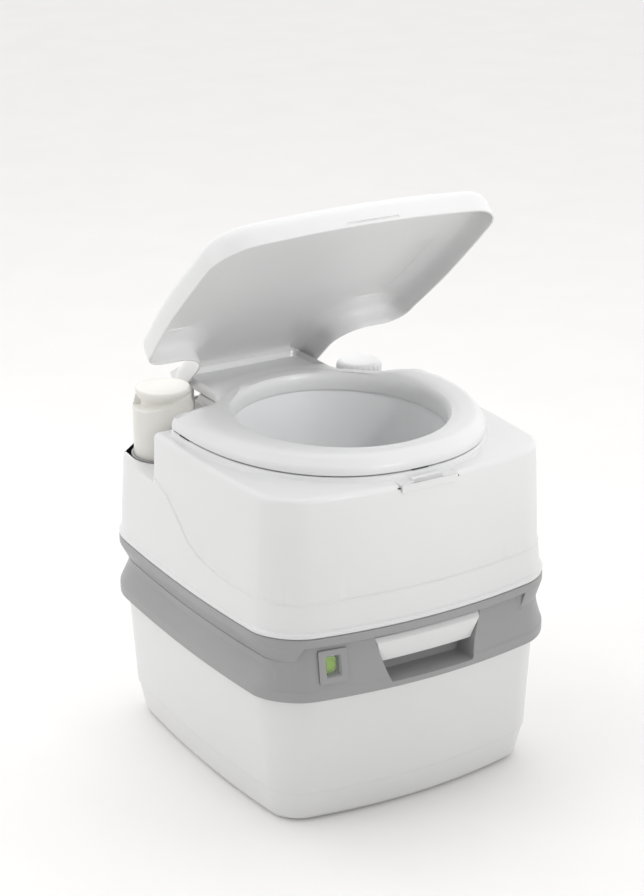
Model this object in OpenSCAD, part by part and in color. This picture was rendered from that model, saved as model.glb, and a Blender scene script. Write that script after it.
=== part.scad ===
// Portable camp toilet with a waste tank below and a flush-water tank above.
// Millimetres, +Z up, front towards -Y, origin on the floor under the middle of the waste tank.

/* [Overall] */
// Half of the width across the grey band
band_a = 191.5; // [188:0.5:195]
// Half of the depth across the grey band
band_b = 213.5; // [210:0.5:217]
// Height of the joint between the two tanks
split_z = 228; // [226:1:230]
// Height of the deck around the seat
deck_z = 380; // [378:1:382]
// How far the front face bows forward at its middle
front_bow = 25; // [15:1:30]
// How far the side faces bow outward at their middle
side_bow = 10.7; // [5:0.1:14]
// Wall thickness of the tanks
wall = 2.2; // [2:0.1:3]

/* [Waste tank] */
// Height where the grey cover starts
cover_z = 155.5; // [154:0.5:158]
// Height of the cover's deck, inside its lip
waste_deck_z = 212; // [210:0.5:213]
// Radius of the hole that the waste falls through
outlet_r = 44; // [40:0.5:46]
// Middle of that hole, front to back
outlet_y = -10; // [-12:0.5:-6]
// Radius of the pour-out spout's pipe
spout_r = 16.5; // [14:0.5:17]

/* [Flush tank] */
// Height of the shelf that the pump stands on
pump_shelf_z = 323; // [320:1:326]
// Height of the shelf that the fill neck stands on
fill_shelf_z = 345; // [340:1:348]
// Radius of the pump's push cap
pump_r = 35; // [33:0.5:36]
// Radius of the fill cap
fill_r = 28; // [26:0.5:30]

/* [Seat and lid] */
// Half of the seat's width
seat_a = 167.5; // [160:0.5:168]
// Half of the seat opening's width
opening_a = 114; // [105:1:118]
// Half of the seat opening's depth
opening_b = 126; // [115:1:130]
// Height of the hinge axis
hinge_z = 365; // [364:0.5:366]
// Place of the hinge axis, front to back
hinge_y = 175; // [174:0.5:176]
// Angle of the lid above its closed place
lid_open = 42.2; // [20:0.1:90]
// Half of the lid's width at its widest
lid_a = 180; // [178:0.5:182]

/* [Hidden] */
eps = 0.01;
$fn = 64;

white = "#f2f2f0";
grey = "#8c8d8f";
dark_grey = "#5a5b5d";
ivory = "#e9e5d8";
rubber = "#2c2c2e";
steel = "#b9bcc0";

band_front_r = 48;      // plan radius of the band's front corners
band_rear_r = 70;       // plan radius of the band's rear corners
base_front_r = 28;      // plan radius of the base's front corners
lip_w = 9;              // width of the cover's raised lip
opening_y = -25;        // middle of the seat's opening
platform_z = deck_z + 6;
seat_bottom_z = platform_z + 1.4;
lid_rim_z = deck_z + 0.6;
pump_x = -128;
pump_y = 150;
fill_x = 128;
fill_y = 138;
alcove_x = 88;          // inner side of the corner alcoves
alcove_y = 74;          // front side of the corner alcoves
spout_x = -136;
spout_y = 178.5;
spout_z = 184;
spout_tip_x = -53.2;      // end of the spout's pipe
level_x = -116;
drum_y = -179;
drum_z = 192;
fillet_x = 127;         // middle of the hollow curve beside the seat's neck
fillet_y = 115.5;
fillet_r = 38.5;
lid_corner_x = 144;     // middle of the lid's rear corners
lid_corner_y = 49;
lid_corner_r = 28;
lid_front_y = -203;
seat_end_y = 203;       // rear end of the seat's neck
lid_end_y = 184;        // rear end of the lid's neck, when closed
seat_gap = 4.5;         // from the lid's outline to the seat's, at the rear
recess_back = -180;     // back of the handle's recess
blade_z = 202;
vent_x = 120;
vent_y = 150;
latch_y = 210;
latch_z = 213;
float_y = -105;
float_z = 140;
nozzle_x = -127.5;      // outer end of the rinse nozzle, in the bowl's left wall
nozzle_z = 366;
port_z = 236;           // height of the pump's outlet
latch_open = 9;         // how far the latch stands open at rest, so that the tanks come apart
pin_r = 4;              // radius of the hinge pins
bore_gap = 0.08;        // from a turning bore to its pin
seat_mid_y = 26.5;      // where the seat is widest
seat_b = 212.5;         // from there to its front edge
// Heights of the flush tank's rings
tank_steps = [split_z + 0.3, 229.5, 234, 236, 255, 264, 266, 330, 368, 374, 378, deck_z];
// The bowl's outline at each height: height, half-width, half-depth, middle
bowl_steps = [[214, 44.5, 44.5, -10], [232, 44.5, 44.5, -10], [246, 54, 56, -12], [268, 73, 79, -16],
    [294, 90, 98, -20], [298, 94, 103, -21], [301, 101, 111, -22], [340, 112, 123, -24], [374, 118, 130, -25],
    [386, 121, 133, -25]];
hose_path = [[nozzle_x - 0.2, opening_y, nozzle_z], [-134, opening_y, nozzle_z], [-143, -23, 360],
    [-150, -14, 340], [-152, 8, 305], [-151, 34, 272], [-147, 62, 249], [-138, 90, 238],
    [pump_x, 108, port_z], [pump_x, 120.8, port_z]];

// ---------- plan outlines ----------
function arc(cx, cy, r, from, to, n) =
    [for (i = [0:n]) let (t = from + (to - from) * i / n) [cx + r * cos(t), cy + r * sin(t)]];
function between(p, q, n) = [for (i = [1:n - 1]) p + (q - p) * i / n];
function bowed(p, a, b, fb, sb) =
    [p.x - sign(p.x) * sb * pow(p.y / b, 2) * min(1, abs(p.x) / a),
     p.y + fb * pow(p.x / a, 2) * max(0, min(1, -p.y / b))];
function box_plan(a, b, rf, rr) = concat(
    arc(a - rf, -b + rf, rf, -90, 0, 5), between([a, -b + rf], [a, b - rr], 4),
    arc(a - rr, b - rr, rr, 0, 90, 5), between([a - rr, b], [-a + rr, b], 4),
    arc(-a + rr, b - rr, rr, 90, 180, 5), between([-a, b - rr], [-a, -b + rf], 4),
    arc(-a + rf, -b + rf, rf, 180, 270, 5), between([-a + rf, -b], [a - rf, -b], 8));
function plan(a, b, rf, rr, fb = front_bow, sb = side_bow) =
    [for (p = box_plan(a, b, rf, rr)) bowed(p, a, b, fb, sb)];
function inset_plan(i) = plan(band_a - i, band_b - i, max(8, band_front_r - i), max(8, band_rear_r - i));
function mixed(p, q, w) = [for (i = [0:len(p) - 1]) p[i] * (1 - w[i]) + q[i] * w[i]];
function at(p, z) = [for (v = p) [v.x, v.y, z]];
function ellipse_plan(a, b, cy, n = 48) =
    [for (i = [0:n - 1]) [a * cos(360 * i / n), cy + b * sin(360 * i / n)]];

// A solid through rings of points; with ends = false the last ring joins the first.
module loft(rings, ends = true) {
    n = len(rings[0]);
    m = len(rings);
    last = ends ? m - 2 : m - 1;
    sides = [for (i = [0:last]) for (j = [0:n - 1])
        let (k = (j + 1) % n, up = (i + 1) % m)
        each [[i * n + j, up * n + j, up * n + k], [i * n + j, up * n + k, i * n + k]]];
    caps = ends ? [[for (j = [0:n - 1]) j], [for (j = [n - 1:-1:0]) (m - 1) * n + j]] : [];
    polyhedron([for (r = rings) each r], concat(caps, sides), convexity = 8);
}

module tube(r, bore, h) {
    difference() {
        cylinder(r = r, h = h);
        translate([0, 0, -1]) cylinder(r = bore, h = h + 2);
    }
}

// A bar along X between two places, for axles and their bores.
module x_rod(x0, x1, y, z, r) {
    translate([x0, y, z]) rotate([0, 90, 0]) cylinder(r = r, h = x1 - x0);
}

module box(low, high) {
    translate(low) cube(high - low);
}

// An outline drawn in X and Z, given a thickness from one y to another.
module along_y(y0, y1) {
    translate([0, y1, 0]) rotate([90, 0, 0]) linear_extrude(y1 - y0) children();
}

// ---------- waste tank ----------
function waste_plan(z, i) =
    let (t = z / cover_z, rise = min(1, z / 40), flare = 12 * max(0, t - 0.25))
    plan(167.5 + 6.8 * rise + flare - i, 186.8 + 9.5 * rise + flare - i,
        max(8, base_front_r + 18 * t - i), max(8, 46 + 20 * t - i), 20 + 5 * t, side_bow);

module waste_tank_shell() {
    outer = [[0, 7], [1.5, 3], [5, 0.6], [9, 0], [38, 0], [40, -1], [100, 0], [cover_z + 3, 0]];
    inner = [[cover_z + 3, wall], [100, wall], [38, wall], [9, wall + 1], [wall + 0.4, 8]];
    color(white)
        loft([for (s = concat(outer, inner)) at(waste_plan(s[0], s[1]), s[0])]);
}

// How far the band's faces lie behind its widest outline, at the sides and on the front fascia.
function side_in(z) = lookup(z, [[155.5, 0.6], [157, -0.8], [168, -0.8], [171, 0], [192, 9.5], [200, 9.5],
    [216, 1.4], [219, 0], [226, 0], [228, 1.2]]);
function front_in(z) = lookup(z, [[155.5, 0.6], [157, -0.8], [166, -0.8], [169, 0.4], [192, 3.6],
    [216, 7], [219, 0], [226, 0], [228, 1.2]]);
function on_front(p) = p.y < -100 && p.x > -150 && p.x < 128 ? 1 : 0;
function band_plan(z, i) =
    let (side = inset_plan(side_in(z) + i), front = inset_plan(front_in(z) + i))
    mixed(side, front, [for (p = side) on_front(p)]);

module band_body() {
    inner = [[waste_deck_z - 3, 14], [204, wall], [197, wall], [188, wall], [170, wall + 0.6],
        [cover_z, 6.8]];
    outer = [for (z = [cover_z, 157, 168, 171, 192, 200, 216, 219, 226, split_z]) [z, 0]];
    loft(concat([for (s = concat(inner, outer)) at(band_plan(s[0], s[1]), s[0])],
        [at(inset_plan(lip_w), split_z), at(inset_plan(lip_w + 1), waste_deck_z)]));
}

// The handle's recess in X and Z: as wide as the handle above, narrower below for the fingers.
module recess_shape(grow) {
    polygon([[-67.4 - grow, 214 + grow], [68.4 + grow, 214 + grow], [59 + grow, 184], [54 + grow, 163 - grow],
        [-50 - grow, 163 - grow], [-59 - grow, 184]]);
}

module spout_recess(grow) {
    box([-162 - grow, 157 - grow, 162 - grow], [-24 + grow, 240, 206 + grow]);
}

module waste_tank_cover() {
    color(grey) difference() {
        union() {
            band_body();
            intersection() {
                loft([for (z = [157, 168, 171, 192, 200, 216, 219, 226]) at(band_plan(z, 1), z)]);
                union() {
                    along_y(-230, recess_back + wall) recess_shape(wall);
                    spout_recess(wall);
                }
            }
            for (x = [level_x - 13, level_x + 11])
                box([x, drum_y - 5, drum_z - 5], [x + 2.4, drum_y + 5, 210]);
            translate([vent_x, vent_y, 190]) cylinder(r = 12, h = 20);
        }
        along_y(-230, recess_back) recess_shape(0.6);
        spout_recess(0);
        translate([0, outlet_y, waste_deck_z - 10]) cylinder(r = outlet_r + 3, h = 30);
        box([-12.6, recess_back - 1, 194.4], [12.6, recess_back + 10, 200.6]);
        box([level_x - 9, -240, 180], [level_x + 9, -189, 206]);
        translate([vent_x, vent_y, 192]) cylinder(r = 10, h = waste_deck_z - 3 - 192);
        translate([vent_x, vent_y, 200]) cylinder(r = 6.3, h = 30);
        translate([spout_x, spout_y, 120]) cylinder(r = 13.2, h = 60);
        box([-20, 204.6, 206], [20, 240, 240]);
        x_rod(-24, 24, latch_y, latch_z, 2.03);
        x_rod(level_x - 14, level_x + 14, drum_y, drum_z, 2.03);
        at_screws() cylinder(r = 2.15, h = 40);
    }
}

module at_screws() {
    for (x = [-57, 57], y = [-160, 38]) translate([x, y, 190]) children();
}

module valve_guide() {
    low = [-62, -172];
    high = [62, 48];
    color(dark_grey) difference() {
        union() {
            box([low.x, low.y, blade_z + 3.4], [high.x, high.y, waste_deck_z - 3]);
            for (s = [-1, 1]) {
                box([s * 56.5 - 5.5, low.y, 199], [s * 56.5 + 5.5, high.y, blade_z + 3.4]);
                box([s * 54 - 8, low.y, 198.5], [s * 54 + 8, high.y, blade_z - 0.5]);
            }
        }
        translate([0, outlet_y, 190]) cylinder(r = outlet_r + 5.3, h = 40);
        at_screws() cylinder(r = 2.2, h = 40);
    }
}

module lip_seal() {
    low = blade_z + 3.3;
    color(rubber) translate([0, outlet_y, low]) tube(outlet_r + 5, outlet_r + 0.5, waste_deck_z - 3 - low);
}

module valve_screws() {
    color(steel) at_screws() {
        translate([0, 0, 5.5]) cylinder(r = 4, h = 3);
        translate([0, 0, 8]) cylinder(r = 2, h = 13.5);
    }
}

module valve_collar() {
    color(dark_grey) translate([0, outlet_y, waste_deck_z]) tube(outlet_r + 12, outlet_r + 3, 4);
}

module valve_blade() {
    color(dark_grey) translate([0, 0, blade_z]) linear_extrude(3) union() {
        translate([0, outlet_y]) circle(r = 50.4, $fn = 96);
        translate([-50.4, -64]) square([100.8, 64 + outlet_y]);
    }
}

module valve_rod() {
    color(dark_grey) {
        box([-12, -187, 195], [12, -52, 200]);
        box([-12, -64, 200 - eps], [12, -52, blade_z]);
    }
}

module rod_seal() {
    color(rubber) difference() {
        box([-16, recess_back + wall, 191], [16, recess_back + wall + 3, 204]);
        box([-12.3, recess_back, 194.7], [12.3, recess_back + 10, 200.3]);
    }
}

module valve_handle() {
    color(white) intersection() {
        along_y(-212, -187) polygon([[-67, 212.5], [68, 212.5], [58.5, 184], [-58.5, 184]]);
        rotate([90, 0, 90]) translate([0, 0, -80]) linear_extrude(160)
            polygon([[-187, 184], [-202, 184], [-206.5, 207], [-202, 212.5], [-187, 212.5]]);
    }
}

module level_frame() {
    color(grey) difference() {
        box([level_x - 8.9, -199.6, 180.1], [level_x + 8.9, -189.4, 205.9]);
        box([level_x - 7, -210, 182], [level_x + 7, -180, 204]);
    }
}

module level_window() {
    color([0.8, 0.85, 0.8, 0.5]) box([level_x - 6.9, -192.4, 182.1], [level_x + 6.9, -190.4, 203.9]);
}

module float_pin() {
    color(steel) x_rod(level_x - 13.2, level_x + 13.6, drum_y, drum_z, 2);
}

module level_drum() {
    color("#a4cf2c") difference() {
        x_rod(level_x - 8, level_x + 6, drum_y, drum_z, 8);
        x_rod(level_x - 9, level_x + 7, drum_y, drum_z, 2.08);
    }
}

module float_arm() {
    color(dark_grey) difference() {
        union() {
            x_rod(level_x + 6, level_x + 9, drum_y, drum_z, 6);
            translate([level_x + 6, 0, 0]) rotate([90, 0, 90]) linear_extrude(3)
                polygon([[drum_y, drum_z + 4], [float_y - 8, float_z + 5], [float_y + 30, float_z + 5],
                    [float_y + 30, float_z], [float_y - 10, float_z], [drum_y, drum_z - 4]]);
        }
        x_rod(level_x, level_x + 12, drum_y, drum_z, 2.08);
    }
}

module float() {
    color(ivory) translate([level_x - 8, float_y, float_z - 20]) linear_extrude(20)
        hull() for (x = [6, 26], y = [6, 38]) translate([x, y]) circle(r = 6, $fn = 32);
}

module vent_button() {
    color(dark_grey) translate([vent_x, vent_y, 0]) {
        translate([0, 0, 205.9]) cylinder(r = 6, h = 10.6);
        translate([0, 0, 205.9]) cylinder(r = 9, h = 2);
    }
}

module vent_seal() {
    color(rubber) translate([vent_x, vent_y, 208]) tube(9.5, 6.6, waste_deck_z - 3 - 208);
}

// A coil spring: a round wire swept along a helix.
module coil(r, wire, height, turns) {
    steps = turns * 14;
    color(steel) loft([for (i = [0:steps])
        let (t = 360 * turns * i / steps, z = wire + (height - 2 * wire) * i / steps)
        [for (k = [0:5]) let (out = r + wire * cos(60 * k))
            [out * cos(t), out * sin(t), z - wire * sin(60 * k)]]]);
}

module vent_spring() {
    translate([vent_x, vent_y, 192.1]) coil(6.5, 0.6, 13.7, 4);
}

module pour_spout() {
    color(white) difference() {
        union() {
            translate([spout_x, spout_y, spout_z - 20.8]) cylinder(r = 17.5, h = 41.6);
            translate([spout_x, spout_y, 150]) cylinder(r = 12.8, h = 20);
            translate([spout_x, spout_y, 154.5]) cylinder(r = 14.6, h = 4.4);
            x_rod(spout_x, spout_tip_x, spout_y, spout_z, spout_r);
            x_rod(spout_tip_x - 26, spout_tip_x - 23, spout_y, spout_z, spout_r + 2.5);
        }
        translate([spout_x, spout_y, 140]) cylinder(r = 10.5, h = 56);
        x_rod(spout_x, spout_tip_x + 1, spout_y, spout_z, spout_r - 2.5);
    }
}

module spout_seal() {
    color(rubber) translate([spout_x, spout_y, 162]) tube(16.5, 13.5, 1);
}

module spout_cap() {
    color(dark_grey) translate([0, spout_y, spout_z]) rotate([0, 90, 0]) difference() {
        union() {
            translate([0, 0, -72]) cylinder(r = 19.4, h = 25);
            translate([0, 0, -70]) grip(20.2, 20, 1.4, 16);
        }
        translate([0, 0, -74]) cylinder(r = spout_r + 0.3, h = 24);
    }
}

module spout_cap_seal() {
    color(rubber) x_rod(-53, -50, spout_y, spout_z, spout_r);
}

module latch_pin() {
    color(steel) x_rod(-23, 23, latch_y, latch_z, 2);
}

module tank_latch() {
    color(dark_grey) translate([0, latch_y, latch_z]) rotate([-latch_open, 0, 0]) difference() {
        union() {
            x_rod(-19.5, 19.5, 0, 0, 4);
            translate([-17, 0, 0]) rotate([90, 0, 90]) linear_extrude(34)
                polygon([[-1.5, 0], [2.5, 0], [3, 30], [-5.5, 30], [-5.5, 26.6], [-1.5, 26]]);
        }
        x_rod(-20, 20, 0, 0, 2.08);
    }
}

// ---------- flush tank ----------
function tank_in(z) = lookup(z, [[228, 1.6], [229.5, 0.4], [234, 1], [236, 2.2], [255, 5], [264, 5.6],
    [266, 6.6], [330, 9], [368, 10.4], [374, 11.6], [378, 14], [380, 18]]);
function tank_ring(z, i) = at(inset_plan(tank_in(z - deck_z + 380) + i), z);

module tank_solid() {
    loft([for (z = tank_steps) tank_ring(z, 0)]);
}

module tank_skin() {
    inner = [tank_ring(deck_z - 3, 4), for (z = [368, 330, 266, 255, 236, 234]) tank_ring(z, wall)];
    loft(concat(inner, [tank_ring(split_z + 0.3, wall + 0.4)], [for (z = tank_steps) tank_ring(z, 0)]));
}

// The corner space for the pump (side = -1) or for the fill neck (side = 1).
module alcove(side, shelf_z, grow) {
    mirror([side < 0 ? 1 : 0, 0, 0]) box([alcove_x - grow, alcove_y - grow, shelf_z - grow], [300, 300, 500]);
}

// The space behind and below the hinge, where the seat's and lid's rear edges swing down.
module hinge_well(half, grow) {
    translate([-half, 0, 0]) rotate([90, 0, 90]) linear_extrude(2 * half)
        polygon([[150 - grow, 500], [150 - grow, 352 - grow], [172, 345 - grow], [216, 311 - grow],
            [300, 311 - grow], [300, 500]]);
}

module hinge_boss(side) {
    difference() {
        union() {
            x_rod(side * 67 - 12, side * 67 + 12, hinge_y, hinge_z, 9);
            box([side * 67 - 12, hinge_y - 7, 330], [side * 67 + 12, hinge_y + 7, hinge_z]);
        }
        x_rod(side * 67 - 20, side * 67 + 20, hinge_y, hinge_z, pin_r + 0.03);
    }
}

module flush_tank_shell() {
    color(white) union() {
        difference() {
            union() {
                tank_skin();
                intersection() {
                    tank_solid();
                    union() {
                        alcove(-1, pump_shelf_z, wall);
                        alcove(1, fill_shelf_z, wall);
                        hinge_well(90, wall);
                        box([-24, 199, 226], [24, 260, 254]);
                    }
                }
                translate([0, 0, deck_z - 1]) linear_extrude(platform_z - deck_z + 1)
                    polygon(seat_plan(2.5));
            }
            alcove(-1, pump_shelf_z, 0);
            alcove(1, fill_shelf_z, 0);
            hinge_well(94, 0);
            translate([0, 0, deck_z - 10]) linear_extrude(20)
                polygon(ellipse_plan(opening_a + 7.4, opening_b + 7.4, opening_y));
            translate([pump_x, pump_y, pump_shelf_z - 20]) cylinder(r = pump_r + 2.7, h = 30);
            translate([fill_x, fill_y, fill_shelf_z - 20]) cylinder(r = 22.3, h = 30);
            box([-35.2, -260, deck_z - 4.4], [35.2, -189.8, deck_z + 2]);
            box([-20.5, 203.5, 200], [20.5, 260, 250.5]);
        }
        for (s = [-1, 1]) hinge_boss(s);
        box([-20.5, 203.4, 235], [20.5, 207.5, 238.5]);
    }
}

module flush_tank_base() {
    color(white) difference() {
        loft([at(inset_plan(16), 219), at(inset_plan(12), 220), at(inset_plan(12), 230),
            at(inset_plan(6.5), 231.5), at(inset_plan(6.5), 233.7), at(inset_plan(14), 233.7),
            at(inset_plan(14.4), 222.2), at(inset_plan(17), 221.2)]);
        translate([0, outlet_y, 200]) cylinder(r = outlet_r + 0.8, h = 40);
        box([-26, 196, 200], [26, 260, 260]);
    }
}

module bowl() {
    last = len(bowl_steps) - 1;
    outer = [for (s = bowl_steps) at(ellipse_plan(s[1], s[2], s[3], 40), s[0])];
    inner = [for (i = [last:-1:0])
        let (s = bowl_steps[i]) at(ellipse_plan(s[1] - 3, s[2] - 3, s[3], 40), s[0])];
    color("#d9dadb") difference() {
        loft(concat(outer, inner), ends = false);
        x_rod(nozzle_x, nozzle_x + 30, opening_y, nozzle_z, 7.2);
    }
}

module outlet_seal() {
    color(rubber) translate([0, outlet_y, 216.3]) tube(outlet_r + 11, outlet_r + 4, 219 - 216.3);
}

module rinse_nozzle() {
    color(dark_grey) difference() {
        x_rod(nozzle_x, nozzle_x + 17, opening_y, nozzle_z, 7);
        x_rod(nozzle_x + 3, nozzle_x + 18, opening_y, nozzle_z, 3);
    }
}

// A round hose through points, each ring square to the way the hose runs.
function unit(v) = v / norm(v);
module hose(path, r, sides = 8) {
    last = len(path) - 1;
    loft([for (i = [0:last])
        let (d = unit(path[min(last, i + 1)] - path[max(0, i - 1)]), u = unit(cross([0.1, 1, 0.2], d)))
        [for (k = [0:sides - 1]) let (t = 360 * k / sides)
            path[i] + r * (cos(t) * u + sin(t) * cross(d, u))]]);
}

module flush_hose() {
    color(grey) hose(hose_path, 4.5);
}

module pump_well() {
    color(white) translate([pump_x, pump_y, 0]) difference() {
        union() {
            translate([0, 0, 262]) cylinder(r = pump_r + 2.4, h = pump_shelf_z - 262);
            translate([0, 0, pump_shelf_z - wall - 3]) cylinder(r = pump_r + 6, h = 3);
        }
        translate([0, 0, 265]) cylinder(r = pump_r + 1, h = 80);
        translate([0, 0, 250]) cylinder(r = 21.2, h = 40);
    }
}

module pump_collar() {
    color(rubber) translate([pump_x, pump_y, pump_shelf_z]) tube(pump_r + 3, pump_r + 0.5, 2);
}

module pump_barrel() {
    color(grey) translate([pump_x, pump_y, 0]) difference() {
        union() {
            translate([0, 0, 226]) cylinder(r = 21, h = 74);
            translate([0, -20, port_z]) rotate([90, 0, 0]) cylinder(r = 5.5, h = 9);
            translate([0, 0, 258]) cylinder(r = 25, h = 4);
        }
        translate([0, 0, 229]) cylinder(r = 18.5, h = 68);
        translate([0, 0, 220]) cylinder(r = 5, h = 20);
        translate([0, 0, 290]) cylinder(r = 5.3, h = 20);
        translate([0, -10, port_z]) rotate([90, 0, 0]) cylinder(r = 2.5, h = 40);
    }
}

module pump_foot_valve() {
    color(rubber) translate([pump_x, pump_y, 229]) cylinder(r = 8, h = 0.8);
}

module pump_cap() {
    color(ivory) translate([pump_x, pump_y, 0]) rotate_extrude($fn = 72)
        polygon([[pump_r - 3, 318], [pump_r, 318], [pump_r, 384], [pump_r - 1.5, 385.5], [26.5, 388],
            [25.5, 391], [29.5, 397], [31, 399], [31, 402.5], [30, 403.5], [20, 402.2], [0, 401.5],
            [0, 382], [pump_r - 3, 382]]);
}

module pump_rod() {
    color(steel) translate([pump_x, pump_y, 283]) cylinder(r = 5, h = 99);
}

module pump_piston() {
    color(dark_grey) translate([pump_x, pump_y, 275]) difference() {
        cylinder(r = 18, h = 8);
        translate([0, 0, 2.5]) tube(19, 16, 3);
    }
}

module piston_seal() {
    color(rubber) translate([pump_x, pump_y, 277.5]) tube(18.4, 16, 3);
}

module pump_spring() {
    translate([pump_x, pump_y, 265.1]) coil(27, 1.4, 116.6, 8);
}

module fill_neck() {
    color(white) translate([fill_x, fill_y, 0]) difference() {
        union() {
            translate([0, 0, fill_shelf_z - 8]) cylinder(r = 22, h = 38);
            translate([0, 0, fill_shelf_z]) cylinder(r = 27, h = 2.5);
        }
        translate([0, 0, 300]) cylinder(r = 19, h = 120);
    }
}

// A cap's finger grip: a prism whose sides zigzag by depth.
module grip(r, h, depth, teeth) {
    linear_extrude(h) polygon([for (k = [0:2 * teeth - 1])
        (r - (k % 2) * depth) * [cos(180 * k / teeth), sin(180 * k / teeth)]]);
}

module fill_cap() {
    color(white) translate([fill_x, fill_y, 0]) difference() {
        union() {
            rotate_extrude() polygon([[0, 354], [fill_r, 354], [fill_r, 358], [fill_r - 1.6, 360],
                [fill_r - 1.6, 391], [fill_r - 4.6, 395], [0, 395]]);
            translate([0, 0, 356]) grip(fill_r - 0.4, 33, 1, 24);
        }
        translate([0, 0, 353]) cylinder(r = 24.4, h = 25.5);
        translate([0, 0, 370]) cylinder(r = 20, h = 22);
    }
}

module fill_cap_seal() {
    color(rubber) translate([fill_x, fill_y, 375.4]) tube(24.3, 19.5, 3.1);
}

module latch_catch() {
    color(white) difference() {
        union() {
            box([-35, -204.6, deck_z - 4.2], [35, -190, deck_z + 0.2]);
            box([-35, -206.2, deck_z - 10], [35, -203.7, deck_z + 0.2]);
        }
        box([-18, -200.2, deck_z - 12], [18, -195, deck_z + 2]);
    }
}

module hinge_pins() {
    color(steel) for (s = [-1, 1]) x_rod(s * 73.5 - 14.5, s * 73.5 + 14.5, hinge_y, hinge_z, pin_r);
}

// ---------- seat and lid ----------
// The seat's outline: a superellipse in front, then a corner, a hollow curve and the neck at each side.
function seat_front(i, n) = [for (k = [0:n]) let (t = -90 + 90 * k / n, e = 2 / 2.26)
    [(seat_a - i) * pow(cos(t), e), seat_mid_y - (seat_b - i) * pow(-sin(t), e)]];
// The neck's end is cut across its corners by this much.
function neck_side(i, corner_r, reach, end_y, cut) = concat(
    arc(lid_corner_x, lid_corner_y, corner_r - i, 0, 90, 5),
    arc(fillet_x, fillet_y, reach + i, -90, -180, 6),
    [for (k = [1:3]) [fillet_x - reach - i, fillet_y + (end_y - cut - fillet_y) * k / 3 - min(i, 8)]],
    [[fillet_x - reach - i - cut * 2 / 3, end_y - cut / 3 - min(i, 12)],
        [fillet_x - reach - i - cut * 2, end_y - min(i, 12)]]);
function mirror_plan(half) = concat(half,
    [for (k = [len(half) - 1:-1:0]) if (abs(half[k].x) > 0.01) [-half[k].x, half[k].y]]);
function seat_plan(i) = mirror_plan(concat(seat_front(i, 14),
    neck_side(i, lid_corner_r - seat_gap - 0.5, fillet_r + seat_gap + 1.7, seat_end_y, 12)));

// The seat's top is high round the opening and lower over the neck.
function seat_fall(y) = y < 45 ? 0 : min(1, (y - 45) / 80);
function seat_top(p, z, low) = [p.x, p.y, z - (z - low) * 0.9 * seat_fall(p.y)];
function to_opening(p, grow) =
    let (d = [p.x, p.y - opening_y], s = 1 / norm([d.x / (opening_a + grow), d.y / (opening_b + grow)]))
    [d.x * s, opening_y + d.y * s];
function seat_ring(i, z) = [for (p = seat_plan(i)) seat_top(p, z, min(z, platform_z + 12))];
function opening_ring(grow, z) = [for (p = seat_plan(0)) let (q = to_opening(p, grow)) [q.x, q.y, z]];
function mid_ring(t, z) = [for (p = seat_plan(6)) let (q = to_opening(p, 0), m = p * (1 - t) + q * t)
    seat_top(m, z, min(z, platform_z + 14))];

module ear(x0, x1, top) {
    x_rod(x0, x1, hinge_y, hinge_z, 9);
    box([x0, hinge_y - 9, hinge_z], [x1, hinge_y + 9, top]);
}

module seat() {
    b = seat_bottom_z;
    t = platform_z + 22;
    color(white) difference() {
        union() {
            loft([seat_ring(0, b), seat_ring(0, b + 8), seat_ring(1.5, t - 8), seat_ring(6, t - 3),
                mid_ring(0.3, t), mid_ring(0.55, t), opening_ring(9, t - 3), opening_ring(2, t - 8),
                opening_ring(0, t - 14), opening_ring(1, b + 3), opening_ring(3.5, b + 3),
                opening_ring(4, t - 11), opening_ring(10, t - 6.5), mid_ring(0.55, t - 3),
                mid_ring(0.3, t - 3), seat_ring(8, t - 6), seat_ring(4, t - 10), seat_ring(3, b + 7),
                seat_ring(3, b)], ends = false);
            for (s = [-1, 1]) ear(s * 81.2 - 1.7, s * 81.2 + 1.7, b + 8);
        }
        x_rod(-100, 100, hinge_y, hinge_z, pin_r + bore_gap);
    }
}

module seat_bumpers() {
    color(rubber) {
        for (x = [1.5 - seat_a, seat_a - 1.5])
            box([x - 1.2, seat_mid_y - 10, platform_z + 0.2], [x + 1.2, seat_mid_y + 10, seat_bottom_z]);
        front_y = seat_mid_y - seat_b + 0.5;
        box([-10, front_y, platform_z + 0.2], [10, front_y + 2.3, seat_bottom_z]);
    }
}

function lid_front(i) = [for (p = concat(
    [for (x = [0, 40, 80, 115]) [x * (1 - i / lid_a), lid_front_y + i]],
    arc(lid_a - 42, lid_front_y + 42, 42 - min(i, 34), -90, 0, 6),
    [for (y = [-110, -65, -20, 20]) [lid_a - i, y]]))
    [p.x - 9 * pow(max(0, p.y + 65) / 114, 2) - 4 * pow(max(0, -65 - p.y) / 138, 2) * min(1, p.x / 100),
        p.y + 16 * pow(p.x / lid_a, 2) * max(0, -p.y / 203)]];
function lid_plan(i) = mirror_plan(concat(lid_front(i), neck_side(i, lid_corner_r, fillet_r, lid_end_y, 6)));
// The neck's rear edge rises to rear_z, so that nothing hangs down behind the hinge.
function lid_ring(i, z, rear_z) =
    [for (v = lid_plan(i)) [v.x, v.y, v.y > 150 && abs(v.x) < 85 - i ? rear_z : z]];
function crown_ring(k, z) = [for (p = lid_plan(14)) [p.x * k, -60 + (p.y + 60) * k, z]];

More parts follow.
